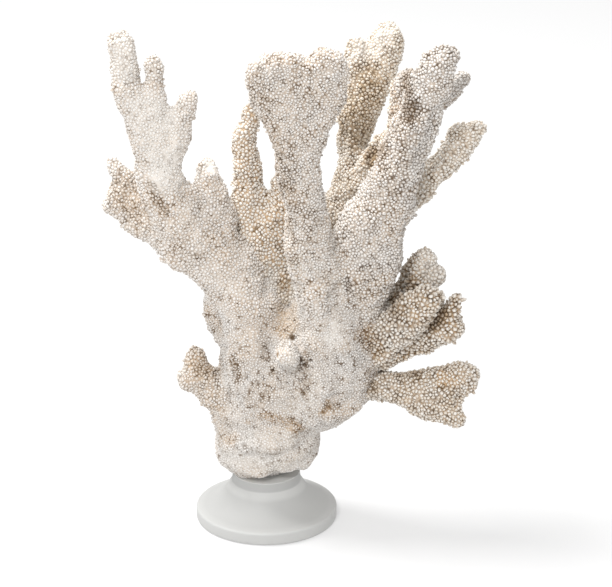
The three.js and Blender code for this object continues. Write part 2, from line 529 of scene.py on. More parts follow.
LOOKS: dict[Limb, LimbLook] = {
    Limb.TRUNK: LimbLook(
        Slot.CREAM, (5, 0, -60), Beads(1.5, 0.5, sides=4, loose=0.25),
        warm=0.12, contrast=0.42, grime=0.06, tint=0.0,
    ),
    Limb.LEFT_BRANCH: LimbLook(
        Slot.CREAM, (5, 0, 110), Beads(1.9, 0.68),
        warm=0.7, contrast=0.34, grime=0.05, tint=0.2,
    ),
    Limb.CENTRE_FAN: LimbLook(
        Slot.CREAM, (22, -20, 110), Beads(1.62, 0.68),
        warm=0.5, contrast=0.4, grime=0.25, tint=0.2,
    ),
    Limb.RIGHT_ANTLER: LimbLook(
        Slot.CREAM, (45, -5, 100), Beads(1.85, 0.8),
        warm=0.35, contrast=0.52, grime=0.34, tint=0.1,
    ),
    Limb.BACK_BLADE: LimbLook(
        Slot.WARM, (5, 10, 110), Beads(2.1, 0.9, lean=0.35, point=0.2),
        warm=1.1, contrast=0.7, grime=0.1, tint=-0.2,
    ),
    Limb.BACK_BRANCH: LimbLook(
        Slot.TAN, (45, 15, 130), Beads(1.95, 0.85),
        warm=0.85, contrast=0.48, grime=0.22, tint=0.0,
    ),
    Limb.RIGHT_FINGER: LimbLook(
        Slot.WARM, (50, 10, 150), Beads(2.1, 0.95, lean=0.3, point=0.3),
        warm=0.6, contrast=0.42, grime=0.18, tint=0.1,
    ),
    Limb.RIGHT_CLUSTER: LimbLook(
        Slot.WARM, (40, -10, 110), Beads(2.4, 1.25, lean=0.4, point=0.4),
        warm=0.65, contrast=0.85, grime=0.52, tint=0.1,
    ),
    Limb.LOWER_BRANCH: LimbLook(
        Slot.WARM, (40, -10, 85), Beads(2.1, 0.95, lean=0.3, point=0.3),
        warm=0.55, contrast=0.74, grime=0.36, tint=0.25,
    ),
    Limb.LEFT_KNOB: LimbLook(
        Slot.CREAM, (-10, 0, 80), Beads(1.9, 0.75),
        warm=0.8, contrast=0.55, grime=0.25, tint=0.7,
    ),
}


class Kind(Enum):
    """What a mark does to the skin, by the name of the mark's own number for it."""

    # Holes and creases sink the skin and darken it as painted shade.
    HOLE = "hole"
    CREASE = "crease"
    # Dark marks stand for dirt in some places and for painted shadow in others.
    DARK = "dark"
    WARM = "warm"
    WORN = "worn"
    TINT = "tint"
    RISE = "rise"


@dataclass(frozen=True)
class Mark:
    """A blemish, a painted shadow or a rise on the skin, along the line from start to end.

    Each kind of change is a share, except for a rise, which is in millimetres. A mark has its
    full strength up to the core's share of its radius.
    """

    CORE: ClassVar[float] = 0.35

    start: Point
    end: Point
    radius: float
    hole: float = 0.0
    crease: float = 0.0
    dark: float = 0.0
    warm: float = 0.0
    worn: float = 0.0
    tint: float = 0.0
    rise: float = 0.0

    def share(self, kind: Kind, points: Array) -> Array:
        """How much each point is changed: all in the core, nothing at the radius and beyond.

        Args:
            kind: The kind of change.
            points: Places on the skin.

        Returns:
            The change, which falls off as the smooth cubic of the distance to the line.
        """
        start = np.array(self.start, float)
        along = np.array(self.end, float) - start
        reach = max(float(along @ along), TINY)
        foot = np.clip((points - start) @ along / reach, 0.0, 1.0)
        away = length_of(points - start - foot[:, None] * along)
        fall = smoothstep(self.CORE, 1.0, away / self.radius)
        return getattr(self, kind.value) * (1.0 - fall)


MARKS: list[Mark] = [
    # outline of the left branch, the fan, the blade and the back branch
    Mark((-69, -9, 281), (-67, -9, 266), 7, rise=1.8),
    Mark((-77, -10, 285), (-75, -10, 285), 6, rise=-1.8),
    Mark((-45, -13, 246), (-41, -14, 252), 6, rise=-1.8),
    Mark((-39, -13, 236), (-41, -11, 222), 7, rise=-2.0),
    Mark((-42, -9, 199), (-42, -9, 197), 7, rise=-2.5),
    Mark((-31, -3, 211), (-27, -3, 211), 7, rise=-2.5),
    Mark((-85, 6, 206), (-86, 5, 200), 6, rise=-1.5),
    Mark((7, -39, 240), (9, -35, 212), 8, rise=2.0),
    Mark((27, -38, 236), (27, -36, 212), 8, rise=2.2),
    Mark((-3, 11, 225), (-1, 11, 195), 8, rise=-2.4),
    Mark((41, 24, 222), (39, 15, 195), 8, rise=-2.2),
    Mark((66, 3, 226), (58, 5, 215), 7, rise=-2.5),
    Mark((67, 39, 279), (64, 39, 279), 8, rise=-2.2),
    Mark((47, 33, 269), (47, 33, 267), 7, rise=-2.2),
    # outline of the antler, the cluster, the lower branch and the trunk
    Mark((93, -24, 244), (84, -23, 217), 8, rise=-2.2),
    Mark((87, -23, 276), (89, -24, 278), 6, rise=-1.6),
    Mark((101, -26, 276), (101, -26, 274), 6, rise=-1.6),
    Mark((80, 3, 155), (74, 0, 140), 7, rise=-3.0),
    Mark((96, -16, 111), (74, -17, 104), 7, rise=-1.6),
    Mark((94, 2, 153), (97, 2, 143), 7, rise=1.8),
    Mark((106, -14, 136), (107, -14, 130), 6, rise=1.6),
    Mark((108, -18, 66), (108, -18, 65), 6, rise=2.5),
    Mark((107, -18, 79), (107, -18, 78), 5, rise=-2.5),
    Mark((-27, -15, 124), (-24, -12, 108), 8, rise=-2.0),
    # left branch: its brown fold with painted shade in it, dirty lobe, worn palm and finger
    # tips, and ragged underside
    Mark((-61, -13, 202), (-53, -15, 186), 5, crease=0.4, dark=0.4, warm=1.0),
    Mark((-56, -12, 176), (-40, -15, 160), 10, dark=0.2),
    Mark((-76, 1, 192), (-68, -1, 184), 18, dark=0.3, tint=0.2),
    Mark((-60, -14, 241), (-48, -11, 210), 19, worn=0.6, tint=-0.4),
    Mark((-56, -14, 205), (-47, -12, 222), 10, worn=0.8),
    Mark((-74, -11, 282), (-73, -14, 263), 11, worn=0.4),
    Mark((-80, -9, 259), (-77, -13, 254), 6, warm=0.7),
    Mark((-28, 1, 213), (-28, 1, 209), 7, worn=0.8),
    Mark((-32, -4, 201), (-25, -4, 196), 7, warm=0.6),
    Mark((-60, -3, 163), (-49, -11, 156), 8, rise=2.2),
    Mark((-55, -6, 158), (-55, -6, 156), 4, rise=3.0),
    Mark((-31, -9, 135), (-31, -9, 130), 7, rise=1.5),
    Mark((-11, -17, 138), (-12, -20, 112), 14, rise=2.2),
    Mark((-30, -8, 128), (-26, -11, 114), 7, dark=0.35, warm=0.8),
    # fan: its swollen right side and darker left edge
    Mark((19, -40, 275), (19, -40, 252), 9, rise=2.4),
    Mark((-6, -41, 272), (-5, -40, 276), 6, rise=1.0),
    Mark((-2, -42, 260), (4, -39, 238), 9, dark=0.25),
    Mark((4, -37, 238), (14, -34, 195), 9, dark=0.35),
    Mark((12, -31, 195), (16, -28, 165), 7, dark=0.35),
    Mark((4, -40, 281), (32, -39, 283), 8, warm=0.5),
    Mark((26, -35, 195), (26, -35, 179), 6, dark=0.35),
    # back branch, antler and right finger: painted shadow in the saddle, the brown middle and
    # the dark tine
    Mark((56, 6, 210), (56, 5, 203), 3, crease=1.0),
    Mark((58, 4, 212), (62, -13, 222), 10, dark=1.0),
    Mark((56, 27, 248), (50, 25, 223), 15, dark=0.3, tint=0.3),
    Mark((66, 35, 274), (55, 34, 268), 12, worn=0.5),
    Mark((77, -10, 263), (76, -20, 254), 8, dark=1.0),
    Mark((76, -20, 254), (77, -24, 246), 8, crease=0.6, dark=1.0),
    Mark((68, -6, 248), (68, -8, 237), 7, dark=0.4, warm=1.0),
    Mark((70, -25, 189), (72, -22, 174), 10, warm=0.6),
    Mark((72, -25, 232), (66, -26, 205), 12, dark=0.25),
    Mark((100, 4, 252), (106, 8, 258), 7, worn=0.45),
    # trunk, above: the ridge under the fan, the tan band beside it and the fold under the
    # antler, with painted shade in the fold
    Mark((27, -31, 147), (28, -29, 118), 9, rise=3.0),
    Mark((15, -15, 138), (18, -21, 119), 4.5, rise=-1.6),
    Mark((38, -30, 128), (42, -29, 118), 10, rise=1.8),
    Mark((10, -2, 136), (5, -2, 143), 9, warm=-1.0, tint=-0.3),
    Mark((11, -4, 143), (12, -15, 120), 9, dark=0.15, warm=1.0, tint=0.8),
    Mark((45, -25, 151), (47, -26, 142), 4, crease=1.0),
    Mark((47, -26, 142), (52, -24, 129), 4, crease=1.0),
    Mark((52, -24, 129), (54, -24, 117), 4, crease=0.8),
    Mark((37, -32, 121), (40, -31, 126), 7, worn=0.5),
    Mark((54, -24, 120), (60, -18, 107), 8, dark=0.5, warm=1.0),
    # trunk, middle: the worn knob with its pits and a painted shadow beside them, and brown pits
    # and grooves to its left, with painted shade in the pits and grooves
    Mark((7, -37, 112), (15, -38, 112), 7, worn=0.2, rise=0.6),
    Mark((6, -34, 112), (9, -37, 114), 6, warm=0.8),
    Mark((7, -41, 115), (7, -33, 112), 1.5, hole=0.5),
    Mark((15, -25, 119), (15, -16, 115), 2.2, hole=0.9),
    Mark((20, -32, 109), (20, -24, 106), 1.6, hole=0.9),
    Mark((22, -33, 106), (22, -25, 103), 1.9, hole=1.0),
    Mark((25, -33, 109), (25, -25, 106), 1.5, hole=0.8),
    Mark((21, -30, 110), (22, -31, 90), 5, dark=0.65),
    Mark((0, -20, 110), (1, -21, 106), 4, dark=0.6),
    Mark((4, -28, 101), (4, -20, 98), 1.8, hole=1.0),
    Mark((4, -24, 100), (4, -24, 100), 4, dark=0.8),
    Mark((-17, -19, 104), (-15, -22, 93), 4, crease=1.0, warm=1.0),
    Mark((-10, -27, 96), (-10, -20, 93), 1.5, hole=1.0),
    Mark((-20, -16, 85), (-20, -16, 78), 2.6, crease=1.0),
    Mark((-8, -24, 79), (-2, -26, 81), 2.6, dark=0.8),
    Mark((3, -26, 88), (-6, -24, 84), 9, dark=0.25, warm=0.5),
    Mark((-22, -12, 89), (-22, -12, 89), 6, worn=0.5),
    # trunk, below: the lip on its right with painted shade in the crease above it, the ledge
    # with a painted shadow line under it, and the worn foot
    Mark((36, -28, 74), (50, -20, 74), 6, rise=2.5),
    Mark((36, -31, 84), (48, -27, 84), 5.5, rise=-2.2),
    Mark((33, -31, 80), (46, -27, 81), 3, crease=0.4, dark=0.4),
    Mark((36, -30, 80), (48, -26, 76), 9, warm=0.6),
    Mark((56, -24, 97), (59, -17, 86), 6, dark=0.6),
    Mark((30, -31, 77), (34, -31, 81), 4, dark=0.6, warm=1.0),
    Mark((-8, -24, 68), (2, -27, 73), 5, dark=0.5, warm=1.0),
    Mark((2, -27, 73), (19, -23, 63), 5.5, dark=0.5, warm=1.0),
    Mark((-26, -13, 49), (-24, -16, 63), 7, dark=0.3),
    Mark((-11, -27, 55), (-11, -21, 53), 1.3, hole=0.6),
    Mark((-21, -17, 54), (-17, -19, 55), 5, dark=0.4, warm=1.0),
    Mark((-10, -22, 56), (11, -24, 57), 7.5, worn=0.25, rise=1.8),
    Mark((-11, -23, 67), (17, -27, 68), 6, rise=-1.4),
    Mark((-10, -22, 46), (12, -21, 46), 4.5, rise=-1.0),
    Mark((-14, -20, 40), (14, -19, 40), 16, worn=0.25),
    Mark((-2, -24, 50), (7, -23, 48), 2.4, dark=0.6),
    # cluster: its hollows, darkened as painted shadow with some brown, and its pale lobe
    Mark((92, -16, 121), (99, -14, 128), 5, dark=1.0),
    Mark((80, -2, 138), (74, -22, 134), 8, dark=0.6),
    Mark((88, 0, 157), (96, 1, 146), 12, worn=0.6, tint=-0.5),
    Mark((75, -3, 134), (79, -2, 142), 7, dark=0.5, warm=0.8),
    # lower branch and left knob
    Mark((85, -10, 92), (75, -9, 90), 5, dark=0.6),
    Mark((100, -16, 91), (100, -16, 91), 8, warm=1.0),
    Mark((-50, -5, 92), (-50, -7, 85), 6, worn=0.7),
    Mark((-33, -10, 91), (-37, -9, 97), 9, dark=0.35),
]


def changes(kind: Kind, points: Array) -> list[Array]:
    """How much each mark of one kind changes each point."""
    return [mark.share(kind, points) for mark in MARKS if getattr(mark, kind.value)]


def strongest(kind: Kind, points: Array) -> Array:
    """The largest change of one kind at each point."""
    return np.max(changes(kind, points), axis=0)


def summed(kind: Kind, points: Array) -> Array:
    """The sum of all changes of one kind at each point."""
    return np.sum(changes(kind, points), axis=0)


# Grids, noise and neighbours


def between(grid: Array, base: Array, share: Array) -> Array:
    """Values between the points of a grid.

    Each of the eight corners of a point's cell counts by the product, over the three axes, of
    the share on its side.

    Args:
        grid: Values on the grid.
        base: The lowest corner of each point's cell, as grid indices.
        share: How far along each axis of its cell each point counts as being.

    Returns:
        The value at each point.
    """
    total = np.zeros(len(base))
    for corner in itertools.product((0, 1), repeat=3):
        weight = np.prod(np.where(np.array(corner), share, 1.0 - share), axis=1)
        total += weight * grid[tuple((base + corner).T)]
    return total


@dataclass
class Lattice:
    """A grid of points round the coral, in millimetres.

    Low is its lowest corner in steps, and band is the widest distance that is kept on it.
    """

    low: Array
    shape: tuple[int, int, int]
    step: float
    band: float

    @staticmethod
    def round_nodes(nodes: list[bpy.types.Object], step: float, band: float) -> "Lattice":
        """A grid that holds some nodes with a margin of the band's width.

        Args:
            nodes: The nodes.
            step: Distance between grid points.
            band: The margin.

        Returns:
            The grid.
        """
        points = np.concatenate([corners(node)[0] for node in nodes])
        low = np.floor((points.min(0) - band) / step).astype(int)
        high = np.ceil((points.max(0) + band) / step).astype(int)
        return Lattice(low, tuple(high - low + 1), step, band)

    def distances(self, node: bpy.types.Object) -> Array:
        """Signed distance of every grid point to a node's surface, up to the band's width.

        Args:
            node: The node.

        Returns:
            The distances, below 0 inside.
        """
        points, triangles = corners(node)
        grid = openvdb.FloatGrid.createLevelSetFromPolygons(
            points,
            triangles=triangles,
            transform=openvdb.createLinearTransform(self.step),
            halfWidth=self.band / self.step,
        )
        values = np.empty(self.shape, np.float32)
        grid.copyToArray(values, ijk=tuple(int(i) for i in self.low))
        return values

    def heights(self) -> Array:
        """The height of each layer of grid points."""
        return (self.low[2] + np.arange(self.shape[2])) * self.step

    def sampled(self, values: Array, points: Array) -> Array:
        """Values of the grid at any points, weighted by nearness along each axis.

        Args:
            values: Values at the grid points.
            points: Where they are wanted.

        Returns:
            The value at each point.
        """
        where = points / self.step - self.low
        base = np.clip(np.floor(where).astype(int), 0, np.array(self.shape) - 2)
        return between(values, base, where - base)


def corners(node: bpy.types.Object) -> tuple[Array, Array]:
    """Reads a node's mesh.

    Args:
        node: The node.

    Returns:
        Its points in millimetres, and its triangles.
    """
    mesh = node.data
    mesh.calc_loop_triangles()
    points = np.empty(len(mesh.vertices) * 3, np.float32)
    mesh.vertices.foreach_get("co", points)
    triangles = np.empty(len(mesh.loop_triangles) * 3, np.int32)
    mesh.loop_triangles.foreach_get("vertices", triangles)
    return points.reshape(-1, 3) / MILLIMETRE, triangles.reshape(-1, 3).astype(np.uint32)


def smooth_union(first: Array, second: Array, blend: float) -> Array:
    """The smaller of two distances, lowered where they are nearly equal, which fillets a fork.

    With h = 1/2 + (second - first) / (2 blend), held between 0 and 1, it is
    second + (first - second) h - blend h (1 - h).
    """
    share = np.clip(0.5 + 0.5 * (second - first) / blend, 0.0, 1.0)
    return second + (first - second) * share - blend * share * (1.0 - share)


def blurred(values: Array, sigma: float, reach: float = 2.5) -> Array:
    """Averages a grid of values with their neighbours by a bell curve.

    Args:
        values: Values on the grid.
        sigma: The curve's width in grid steps.
        reach: How many such widths are looked at.

    Returns:
        The averaged values.
    """
    last = math.ceil(reach * sigma)
    offsets = np.arange(-last, last + 1)
    weights = np.exp(-0.5 * (offsets / sigma) ** 2)
    weights /= weights.sum()
    for axis in range(3):
        values = sum(w * np.roll(values, n, axis) for w, n in zip(weights, offsets))
    return values.astype(np.float32)


def surface_net(values: Array) -> tuple[Array, Array, Array]:
    """The closed surface where a grid of values is zero.

    Each grid edge whose ends differ in sign is cut where the value, taken as a straight line,
    is zero. A cell's point is the mean of the cuts on its edges, and each cut edge becomes a
    four-sided face between the points of the four cells round it.

    Args:
        values: Grid of values, below 0 inside.

    Returns:
        Points in grid steps, faces, and for each face the grid index just inside it.
    """
    inside = values < 0
    shape = values.shape
    cells = int(np.prod(shape))
    sums = np.zeros((3, cells))
    counts = np.zeros(cells)
    faces, behind = [], []
    for axis in range(3):
        edge = np.eye(3, dtype=int)[axis]
        across, up = np.roll(edge, 1), np.roll(edge, 2)
        ahead = np.roll(inside, -1, axis)
        start = np.stack(np.nonzero(inside != ahead), 1)
        near, far = values[tuple(start.T)], values[tuple((start + edge).T)]
        leaving = near < 0
        cut = start + (near / (near - far))[:, None] * edge
        ring = [start, start - across, start - across - up, start - up]
        ring = np.stack([np.ravel_multi_index(tuple(c.T), shape) for c in ring], 1)
        for corner in ring.T:
            counts += np.bincount(corner, minlength=cells)
            for i in range(3):
                sums[i] += np.bincount(corner, cut[:, i], cells)
        faces.append(np.where(leaving[:, None], ring, ring[:, ::-1]))
        behind.append(np.where(leaving[:, None], start, start + edge))
    used = np.flatnonzero(counts)
    index = np.zeros(cells, int)
    index[used] = np.arange(len(used))
    points = (sums[:, used] / counts[used]).T
    return points, index[np.concatenate(faces)], np.concatenate(behind)


# The box that noise is laid out in, which holds the whole coral.
NOISE_LOW = np.array([-140.0, -100.0, -20.0])
NOISE_HIGH = np.array([160.0, 100.0, 320.0])


def swell(points: Array, wavelength: float, seed: int) -> Array:
    """Smooth noise: random numbers on a lattice, blended with cubic weights.

    Args:
        points: Where it is wanted.
        wavelength: The lattice's step.
        seed: Start of the random numbers.

    Returns:
        A number from -1 to 1 at each point.
    """
    where = (points - NOISE_LOW) / wavelength
    base = np.floor(where).astype(int)
    size = np.ceil((NOISE_HIGH - NOISE_LOW) / wavelength).astype(int) + 2
    knots = np.random.default_rng(seed).uniform(-1.0, 1.0, tuple(size))
    return between(knots, base, smoothstep(0.0, 1.0, where - base))


def neighbours(points: Array, centres: Array, reach: float) -> Iterator[tuple[Array, Array]]:
    """Every pair of a point and a centre that may be within reach of it.

    Centres are sorted into cubes of side reach, and each point looks through its own cube and
    the 26 round it, one centre at a time for all points together.

    Args:
        points: Where to look from.
        centres: What to find.
        reach: The cubes' side, at least as long as the longest distance that matters.

    Yields:
        Indices of points, and of one centre for each.
    """
    margin = 1.5 * reach
    low = np.minimum(points.min(0), centres.min(0)) - margin
    high = np.maximum(points.max(0), centres.max(0)) + margin
    shape = tuple(((high - low) // reach).astype(int) + 2)
    keys = np.ravel_multi_index(tuple(((centres - low) // reach).astype(int).T), shape)
    order = np.argsort(keys, kind="stable")
    counts = np.bincount(keys, minlength=int(np.prod(shape)))
    starts = np.cumsum(counts) - counts
    home = ((points - low) // reach).astype(int)
    for offset in itertools.product((-1, 0, 1), repeat=3):
        cube = np.ravel_multi_index(tuple((home + offset).T), shape)
        held, first = counts[cube], starts[cube]
        for place in range(int(held.max())):
            live = np.flatnonzero(held > place)
            yield live, order[first[live] + place]


def nearest(points: Array, centres: Array, reach: float) -> Array:
    """The centre that is nearest to each point.

    Args:
        points: Where to look from.
        centres: What to find.
        reach: How far to look.

    Returns:
        The centre's index for each point, or 0 where there is none within reach.
    """
    found = np.zeros(len(points), int)
    best = np.full(len(points), np.inf)
    for live, centre in neighbours(points, centres, reach):
        away = ((points[live] - centres[centre]) ** 2).sum(1)
        closer = away < best[live]
        best[live[closer]] = away[closer]
        found[live[closer]] = centre[closer]
    return found


def cell_radii(centres: Array, mine: Array, rays: Array, widest: float) -> Array:
    """How far some centres' own ground goes along rays from them.

    The ground ends half way to each other centre: with v the way to the other centre, a ray
    of direction d leaves it at |v|^2 / (2 d.v).

    Args:
        centres: All centres.
        mine: Indices of the centres whose ground is wanted.
        rays: Unit directions, several for each of these.
        widest: The longest radius.

    Returns:
        The radius along each ray.
    """
    radii = np.full(rays.shape[:2], widest)
    for live, other in neighbours(centres[mine], centres, 2.0 * widest):
        apart = mine[live] != other
        live, other = live[apart], other[apart]
        way = centres[other] - centres[mine[live]]
        ahead = np.einsum("nkc,nc->nk", rays[live], way)
        cut = 0.5 * (way * way).sum(1)[:, None] / np.maximum(ahead, TINY)
        radii[live] = np.minimum(radii[live], cut)
    return radii


def curve_order(points: Array, step: float, bits: int = 10) -> Array:
    """Order of points along a space-filling curve.

    A point's place on it is given by the bits of its cube's three numbers, interleaved.

    Args:
        points: The points.
        step: The cubes' side.
        bits: How many bits of each number count.

    Returns:
        Indices of the points, in order.
    """
    cube = ((points - points.min(0)) / step).astype(np.int64)
    code = np.zeros(len(points), np.int64)
    for bit in range(bits):
        for axis in range(3):
            code |= ((cube[:, axis] >> bit) & 1) << (3 * bit + axis)
    return np.argsort(code, kind="stable")


# The coral


@dataclass
class Skin:
    """The coral's bare skin: one closed surface of four-sided faces over all its limbs.

    Sizes are in millimetres, except for the softness, which is in grid steps, and the foot's
    margin, which is a share of a step. Change is how softly one limb's look goes over into the
    next one's.
    """

    nodes: dict[str, bpy.types.Object]
    step: float = 1.5
    band: float = 9.0
    fillet: float = 2.4
    softness: float = 1.0
    inset: float = 0.1
    foot: float = 28.4
    foot_margin: float = 0.25
    lumps: Waves = ((17.0, 1.1), (9.0, 1.4), (5.0, 1.2))
    lump_seeds: tuple[int, ...] = (7, 17, 27)
    hole_depth: float = 3.0
    crease_depth: float = 1.6
    change: float = 2.5
    lattice: Lattice = field(init=False)
    apart: list[Array] = field(init=False)
    points: Array = field(init=False)
    normals: Array = field(init=False)
    faces: Array = field(init=False)
    face_limb: Array = field(init=False)

    def grow(self) -> None:
        """Joins the limbs' solids into one skin without facets, and finds each face's limb.

        Signed distances to the limbs are joined with fillets and blurred. The zero surface of
        the result is the skin, and the foot's plane cuts it off flat.
        """
        solids = [self.nodes[limb.value] for limb in Limb]
        self.lattice = lattice = Lattice.round_nodes(solids, self.step, self.band)
        self.apart = [lattice.distances(solid) for solid in solids]
        owner = np.argmin(self.apart, axis=0)
        whole = self.apart[0]
        for distances in self.apart[1:]:
            whole = smooth_union(whole, distances, self.fillet)
        whole = blurred(whole, self.softness) + self.inset
        slopes = np.gradient(whole)
        whole = np.maximum(whole, (self.foot - lattice.heights()).astype(np.float32))
        points, self.faces, behind = surface_net(whole)
        self.points = (points + lattice.low) * self.step
        self.face_limb = owner[tuple(behind.T)]
        slopes = [lattice.sampled(slope, self.points) for slope in slopes]
        self.normals = unit(np.stack(slopes, 1))
        self.normals[self.under()] = DOWN

    def under(self) -> Array:
        """Which of the skin's points lie on the flat underside of the foot."""
        return self.points[:, 2] < self.foot + self.foot_margin * self.step

    def weather(self) -> None:
        """Moves the skin in and out: lumps all over, and the marks' rises, holes and creases.

        A point's new normal is the sum of those of the faces round it, weighted by their area.
        """
        move = summed(Kind.RISE, self.points)
        for seed, (wavelength, height) in zip(self.lump_seeds, self.lumps):
            move += height * swell(self.points, wavelength, seed)
        move -= self.hole_depth * strongest(Kind.HOLE, self.points)
        move -= self.crease_depth * strongest(Kind.CREASE, self.points)
        under = self.under()
        move[under] = 0.0
        self.points = self.points + move[:, None] * self.normals
        a, b, c, d = (self.points[corner] for corner in self.faces.T)
        facing = np.cross(c - a, d - b)
        count = len(self.points)
        slopes = [
            sum(np.bincount(corner, facing[:, i], count) for corner in self.faces.T)
            for i in range(3)
        ]
        self.normals = unit(np.stack(slopes, 1))
        self.normals[under] = DOWN

    def blended(self, number: Callable[[LimbLook], float], points: Array) -> Array:
        """A number of the limbs' looks, which goes over softly from limb to limb at a fork.

        Each limb counts as exp(-distance / change).

        Args:
            number: Takes the number from a limb's look.
            points: Places on the skin.

        Returns:
            The number at each point.
        """
        values = np.array([number(LOOKS[limb]) for limb in Limb])
        away = np.stack([self.lattice.sampled(grid, points) for grid in self.apart], 1)
        shares = np.exp(-(away - away.min(1)[:, None]) / self.change)
        return shares @ values / shares.sum(1)

    def shell(self, number: int) -> Shell:
        """One limb's share of the skin, closed where it meets the others.

        The edges where it ends form closed lines. Each line is closed with triangles to its
        middle point, inside the coral.

        Args:
            number: The limb's place in the list of limbs.

        Returns:
            The closed shell, without tones.
        """
        used, quads = np.unique(self.faces[self.face_limb == number], return_inverse=True)
        quads = quads.reshape(-1, 4)
        count = len(used)
        tail, head = quads.ravel(), np.roll(quads, -1, axis=1).ravel()
        paired = np.isin(head * count + tail, tail * count + head)
        tail, head = tail[~paired], head[~paired]
        lines, member = np.unique(self.lines(tail, head, count)[tail], return_inverse=True)
        points, normals = self.points[used], self.normals[used]
        size = np.bincount(member, minlength=len(lines))
        middles = [np.bincount(member, points[tail, i], len(lines)) / size for i in range(3)]
        caps = np.stack([head, tail, count + member], 1)
        return Shell(
            np.concatenate([points, np.stack(middles, 1)]),
            np.concatenate([quads[:, [0, 1, 2]], quads[:, [0, 2, 3]], caps]),
            normals=np.concatenate([normals, np.zeros((len(lines), 3))]),
        )

    @staticmethod
    def lines(tail: Array, head: Array, count: int) -> Array:
        """Finds which points hang together along edges.

        Every point starts as a line of its own, and the ends of each edge take the lower of
        their two numbers until nothing changes.

        Args:
            tail: One end of each edge.
            head: The other end of each edge.
            count: How many points there are.

        Returns:
            The number of each point's line.
        """
        line = np.arange(count)
        while True:
            lowest = np.minimum(line[tail], line[head])
            following = line.copy()
            np.minimum.at(following, tail, lowest)
            np.minimum.at(following, head, lowest)
            if (following == line).all():
                return line
            line = following


@dataclass(frozen=True)
class DirtAndShade:
    """What marks and chance make of the tones: dirt, wear, painted shade and painted shadow.

    A field such as warm_by_mark is the share of a cause that is added to a tone. Patches and
    stains are two layouts of the same soft noise.
    """

    skin: Skin
    ragged: Waves = ((9.0, 2.0), (3.5, 1.6))
    ragged_seeds: tuple[int, ...] = (67, 68, 69)
    patch_size: float = 13.0
    patch_seeds: tuple[int, ...] = (77, 78)
    warm_by_mark: float = 0.6
    warm_by_patch: float = 0.3
    grime_by_dirt_and_shadow: float = 0.8
    crease_painted_shade_specks: float = 0.7
    grime_by_stain: float = 0.1
    contrast_by_mark: float = 0.2
    contrast_by_stain: float = 0.07
    dark_by_dirt_and_shadow: float = 0.3
    crease_painted_shade: float = 0.5
    darkest: float = 0.95
    worn_by_mark: float = 0.75
    tint_by_dirt_and_shadow: float = 0.5
    specks: Waves = ((1.6, 1.0), (4.0, 0.12))
    speck_seeds: tuple[int, ...] = (87, 88)
    speck_levels: tuple[float, float] = (0.45, 0.75)
    speck_rise: float = 0.85
    speck_dark: float = 0.9

    def warped(self, points: Array) -> Array:
        """Points pushed about by noise, which gives the marks on them ragged edges.

        Args:
            points: Places on the skin.

        Returns:
            Where to look for marks instead.
        """
        return points + sum(
            depth * np.stack([swell(points, wavelength, seed) for seed in self.ragged_seeds], 1)
            for wavelength, depth in self.ragged
        )

    def tones(self, points: Array) -> Tones:
        """The finish's numbers as they are in the gaps between the beads.

        Each is the limb's own number with shares of the marks and of chance patches added.

        Args:
            points: Places on the skin.

        Returns:
            The tones, of which tint and grime may go past 0 and 1.
        """
        there = self.warped(points)
        holes = strongest(Kind.HOLE, points)
        creases = strongest(Kind.CREASE, points)
        darker = strongest(Kind.DARK, there)
        worn = strongest(Kind.WORN, there) * (1.0 - holes)
        patch, stain = (swell(points, self.patch_size, seed) for seed in self.patch_seeds)

        warm = self.skin.blended(lambda look: look.warm, points)
        warm += self.warm_by_mark * summed(Kind.WARM, there) + self.warm_by_patch * patch
        grime = self.skin.blended(lambda look: look.grime, points)
        # Dark marks add grime, some as dirt and some as painted shadow; creases add it as
        # painted shade.
        grime += self.grime_by_dirt_and_shadow * darker + self.crease_painted_shade_specks * creases
        grime += self.grime_by_stain * stain
        contrast = self.skin.blended(lambda look: look.contrast, points)
        contrast += self.contrast_by_mark * np.maximum(darker, creases)
        contrast += self.contrast_by_stain * stain
        # Dark comes from the marks, some dirt and some painted shadow, and is painted shade in
        # creases and holes.
        dark = self.dark_by_dirt_and_shadow * darker + self.crease_painted_shade * creases + holes
        tint = self.skin.blended(lambda look: look.tint, points)
        tint += summed(Kind.TINT, there) + self.tint_by_dirt_and_shadow * darker
        return {
            # Holes take the gaps' colour all over, as painted shadow.
            Tone.RISE: np.clip(1.0 - contrast - holes, 0.0, 1.0),
            Tone.WARM: np.clip(warm, 0.0, 1.0),
            Tone.DARK: np.clip(dark, 0.0, self.darkest),
            Tone.WORN: np.clip(self.worn_by_mark * worn, 0.0, 1.0),
            Tone.TINT: tint,
            Tone.GRIME: grime,
        }

    def soil(self, tones: Tones, points: Array, depth: Array | float) -> None:
        """Puts dark specks into the gaps, more where there is more grime, which holds painted
        shade too.

        Fine noise with the grime added to it becomes a speck where it passes a level.

        Args:
            tones: The tones, of which rise and dark change.
            points: Places on the skin or on the beads.
            depth: How deep in a gap each point is, from 0 to 1.
        """
        fine = sum(
            share * swell(points, wavelength, seed)
            for seed, (wavelength, share) in zip(self.speck_seeds, self.specks)
        )
        speck = smoothstep(*self.speck_levels, fine + tones[Tone.GRIME]) * depth
        tones[Tone.RISE] = tones[Tone.RISE] * (1.0 - self.speck_rise * speck)
        tones[Tone.DARK] = np.maximum(tones[Tone.DARK], self.speck_dark * speck)


@dataclass
class Bed:
    """Where all beads stand, with a row of each array for each bead.

    Limbs are places in the list of limbs, or -1 for a bead that is worn away. Shade and turn
    go from -1 to 1 by chance, and tall is a bead's height as a share of its limb's.
    """

    centres: Array
    normals: Array
    limbs: Array
    shade: Array
    turn: Array
    tall: Array


